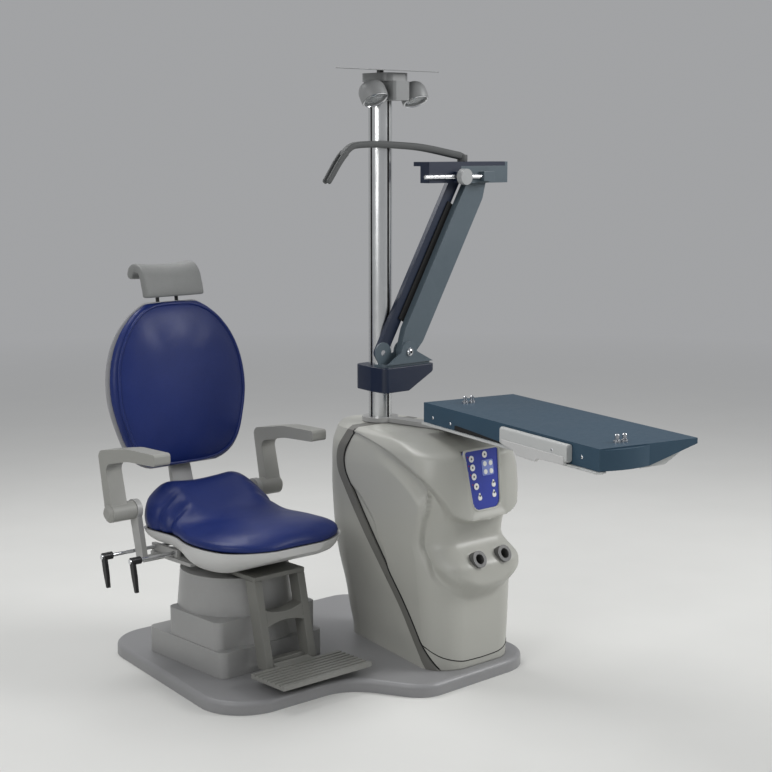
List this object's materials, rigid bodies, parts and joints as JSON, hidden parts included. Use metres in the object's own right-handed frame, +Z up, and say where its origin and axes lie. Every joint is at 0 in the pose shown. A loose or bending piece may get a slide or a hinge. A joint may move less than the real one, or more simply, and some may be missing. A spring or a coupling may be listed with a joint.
{
  "type": "ophthalmic unit",
  "caption": "Ophthalmic examination unit: lifting patient chair, console with column, folding instrument arm, swing-out instrument table and overhead lamps on one base plate.",
  "frame": {"origin": "on the floor, on the axis of the column", "axes": "+Z up, -Y the way the seated patient faces, +X from the chair towards the console"},
  "size_m": [1.339, 1.7819, 1.8992],
  "materials": {
    "base_paint": "satin paint",
    "pedestal_grey": "satin",
    "console_grey": "satin",
    "shell_grey": "satin",
    "trim_grey": "satin",
    "blue_leather": "grained",
    "headrest_grey": "smooth",
    "armrest_grey": "satin",
    "chrome": "polished",
    "column_aluminium": "polished",
    "arm_navy": "satin paint",
    "arm_blue_grey": "satin paint",
    "table_blue": "satin",
    "tray_grey": "satin",
    "keypad_blue": "satin",
    "key_white": "satin",
    "key_pad_pale": "satin",
    "black_plastic": "satin",
    "dark_rubber": "matt",
    "lens_glass": "clear",
    "lamp_grey": "satin paint",
    "inner_steel": "plain",
    "frame_grey": "satin paint",
    "ribbed_grey": "ribbed"
  },
  "bodies": {
    "unit": {"base_plate": "base_paint", "pedestal_cover": "pedestal_grey", "lift_cylinder": "inner_steel", "console_body": "console_grey", "console_front_cover": "console_grey", "console_trim": "trim_grey", "console_frame": "inner_steel", "power_supply": "lamp_grey", "keypad_panel": "keypad_blue", "instrument_wells": "dark_rubber", "column": "column_aluminium", "lamp_bracket": "lamp_grey"},
    "lift": {"lift_ram": "chrome", "seat_carrier": "frame_grey", "footrest_frame": "pedestal_grey"},
    "foot": {"foot_plate": "ribbed_grey"},
    "seat": {"seat_frame": "frame_grey", "seat_shell": "shell_grey", "seat_cushion": "blue_leather", "chair_pins": "chrome"},
    "back": {"backrest_bracket": "frame_grey", "backrest_shell": "shell_grey", "backrest_cushion": "blue_leather"},
    "head_rods": {"headrest_rods": "chrome"},
    "head_pad": {"headrest_pad": "headrest_grey"},
    "arm_rest_right": {"armrest_right": "armrest_grey"},
    "arm_rest_left": {"armrest_left": "armrest_grey"},
    "swivel_lever": {"swivel_lever_rod": "chrome", "swivel_lever_handle": "black_plastic"},
    "recline_lever": {"recline_lever_rod": "chrome", "recline_lever_handle": "black_plastic"},
    "collar": {"arm_collar": "arm_navy", "arm_clevis": "arm_blue_grey", "arm_pins": "chrome"},
    "link": {"arm_link": "arm_blue_grey"},
    "rear_link": {"arm_rear_link": "arm_navy"},
    "head": {"arm_head": "arm_navy", "head_ear": "arm_blue_grey"},
    "spigot": {"refractor_spigot": "chrome"},
    "lock_knob": {"head_lock_knob": "arm_blue_grey"},
    "hanger": {"refractor_hanger": "lamp_grey"},
    "table_carrier": {"table_arm": "frame_grey", "table_tray": "tray_grey"},
    "table": {"table_top": "table_blue", "table_studs": "chrome"},
    "table_lock": {"table_lock_handle": "tray_grey"},
    "lamp_l": {"lamp_left": "lamp_grey", "lamp_lens_left": "lens_glass"},
    "lamp_r": {"lamp_right": "lamp_grey", "lamp_lens_right": "lens_glass"},
    "plate": {"projector_plate": "lamp_grey"},
    "button_top": {"key_top": "key_white"},
    "button_left_1": {"key_left_1": "key_white"},
    "button_left_2": {"key_left_2": "key_white"},
    "button_left_3": {"key_left_3": "key_white"},
    "button_left_4": {"key_left_4": "key_white"},
    "button_drop_left": {"key_drop_left": "key_white"},
    "button_drop_right_1": {"key_drop_right_1": "key_white"},
    "button_drop_right_2": {"key_drop_right_2": "key_white"},
    "button_four_way": {"key_four_way": "key_pad_pale"}
  },
  "joints": [
    {"name": "chair_lift", "type": "slide", "parent": "unit", "child": "lift", "axis": [0, 0, 1], "range_m": [0, 0.2]},
    {"name": "chair_swivel", "type": "hinge", "parent": "lift", "child": "seat", "pos_m": [-0.5, 0.14, 0.35], "axis": [0, 0, 1], "range_deg": [-25, 5]},
    {"name": "backrest_recline", "type": "hinge", "parent": "seat", "child": "back", "pos_m": [-0.5, 0.388, 0.404], "axis": [-1, 0, 0], "range_deg": [0, 45]},
    {"name": "headrest_height", "type": "slide", "parent": "back", "child": "head_rods", "axis": [0, 0.1219, 0.9925], "range_m": [0, 0.1]},
    {"name": "headrest_tilt", "type": "hinge", "parent": "head_rods", "child": "head_pad", "pos_m": [-0.5, 0.49833, 1.19629], "axis": [1, 0, 0], "range_deg": [-15, 15]},
    {"name": "armrest_right_fold", "type": "hinge", "parent": "seat", "child": "arm_rest_right", "pos_m": [-0.8, 0.344, 0.512], "axis": [-1, 0, 0], "range_deg": [0, 95]},
    {"name": "armrest_left_fold", "type": "hinge", "parent": "seat", "child": "arm_rest_left", "pos_m": [-0.2, 0.344, 0.512], "axis": [-1, 0, 0], "range_deg": [0, 95]},
    {"name": "swivel_lever_turn", "type": "hinge", "parent": "seat", "child": "swivel_lever", "pos_m": [-0.7, 0.236, 0.377], "axis": [1, 0, 0], "range_deg": [-30, 30], "stiffness_Nm_per_rad": 3},
    {"name": "recline_lever_turn", "type": "hinge", "parent": "seat", "child": "recline_lever", "pos_m": [-0.7, 0.345, 0.377], "axis": [1, 0, 0], "range_deg": [-30, 30], "stiffness_Nm_per_rad": 3},
    {"name": "foot_plate_fold", "type": "hinge", "parent": "lift", "child": "foot", "pos_m": [-0.5, -0.1426, 0.0754], "axis": [-1, 0, 0], "range_deg": [0, 60]},
    {"name": "collar_swing", "type": "hinge", "parent": "unit", "child": "collar", "pos_m": [0, 0, 0.9], "axis": [0, 0, 1], "range_deg": [-120, 20]},
    {"name": "arm_lift", "type": "hinge", "parent": "collar", "child": "link", "pos_m": [0.032, -0.084, 0.992], "axis": [0, 1, 0], "range_deg": [-15, 22]},
    {"name": "arm_rear_lift", "type": "hinge", "parent": "collar", "child": "rear_link", "pos_m": [-0.05, -0.056, 0.992], "axis": [0, 1, 0], "range_deg": [-15, 22]},
    {"name": "arm_head_level", "type": "hinge", "parent": "link", "child": "head", "pos_m": [0.364, -0.084, 1.554], "axis": [0, 1, 0], "range_deg": [-22, 15]},
    {"name": "spigot_slide", "type": "slide", "parent": "head", "child": "spigot", "axis": [-1, 0, 0], "range_m": [0, 0.08]},
    {"name": "head_lock_turn", "type": "hinge", "parent": "head", "child": "lock_knob", "pos_m": [0.236, -0.15, 1.554], "axis": [0, -1, 0], "range_deg": [-90, 180]},
    {"name": "hanger_swing", "type": "hinge", "parent": "head", "child": "hanger", "pos_m": [0.294, -0.079, 1.605], "axis": [0, 0, 1], "range_deg": [0, 120]},
    {"name": "table_swing", "type": "hinge", "parent": "unit", "child": "table_carrier", "pos_m": [0, 0, 0.767], "axis": [0, 0, 1], "range_deg": [-50, 30]},
    {"name": "table_slide", "type": "slide", "parent": "table_carrier", "child": "table", "axis": [-0.2096, -0.9778, 0], "range_m": [-0.08, 0.15]},
    {"name": "table_lock_turn", "type": "hinge", "parent": "table", "child": "table_lock", "pos_m": [-0.21235, -1.00481, 0.824], "axis": [0.9778, -0.2096, 0], "range_deg": [0, 12]},
    {"name": "lamp_left_tilt", "type": "hinge", "parent": "unit", "child": "lamp_l", "pos_m": [-0.088, -0.06, 1.822], "axis": [1, 0, 0], "range_deg": [-30, 30]},
    {"name": "lamp_right_tilt", "type": "hinge", "parent": "unit", "child": "lamp_r", "pos_m": [0.088, -0.06, 1.822], "axis": [1, 0, 0], "range_deg": [-30, 30]},
    {"name": "projector_plate_turn", "type": "hinge", "parent": "unit", "child": "plate", "pos_m": [0, 0, 1.89], "axis": [0, 0, 1], "range_deg": [-90, 90]},
    {"name": "key_top_press", "type": "slide", "parent": "unit", "child": "button_top", "axis": [0, 0.9877, -0.1564], "range_m": [0, 0.0012], "stiffness_N_per_m": 300},
    {"name": "key_left_1_press", "type": "slide", "parent": "unit", "child": "button_left_1", "axis": [0, 0.9877, -0.1564], "range_m": [0, 0.0012], "stiffness_N_per_m": 300},
    {"name": "key_left_2_press", "type": "slide", "parent": "unit", "child": "button_left_2", "axis": [0, 0.9877, -0.1564], "range_m": [0, 0.0012], "stiffness_N_per_m": 300},
    {"name": "key_left_3_press", "type": "slide", "parent": "unit", "child": "button_left_3", "axis": [0, 0.9877, -0.1564], "range_m": [0, 0.0012], "stiffness_N_per_m": 300},
    {"name": "key_left_4_press", "type": "slide", "parent": "unit", "child": "button_left_4", "axis": [0, 0.9877, -0.1564], "range_m": [0, 0.0012], "stiffness_N_per_m": 300},
    {"name": "key_drop_left_press", "type": "slide", "parent": "unit", "child": "button_drop_left", "axis": [0, 0.9877, -0.1564], "range_m": [0, 0.0012], "stiffness_N_per_m": 300},
    {"name": "key_drop_right_1_press", "type": "slide", "parent": "unit", "child": "button_drop_right_1", "axis": [0, 0.9877, -0.1564], "range_m": [0, 0.0012], "stiffness_N_per_m": 300},
    {"name": "key_drop_right_2_press", "type": "slide", "parent": "unit", "child": "button_drop_right_2", "axis": [0, 0.9877, -0.1564], "range_m": [0, 0.0012], "stiffness_N_per_m": 300},
    {"name": "key_four_way_press", "type": "slide", "parent": "unit", "child": "button_four_way", "axis": [0, 0.9877, -0.1564], "range_m": [0, 0.0012], "stiffness_N_per_m": 300}
  ],
  "couplings": [
    {"joint": "arm_rear_lift", "follows": "arm_lift", "ratio": 1},
    {"joint": "arm_head_level", "follows": "arm_lift", "ratio": -1}
  ]
}
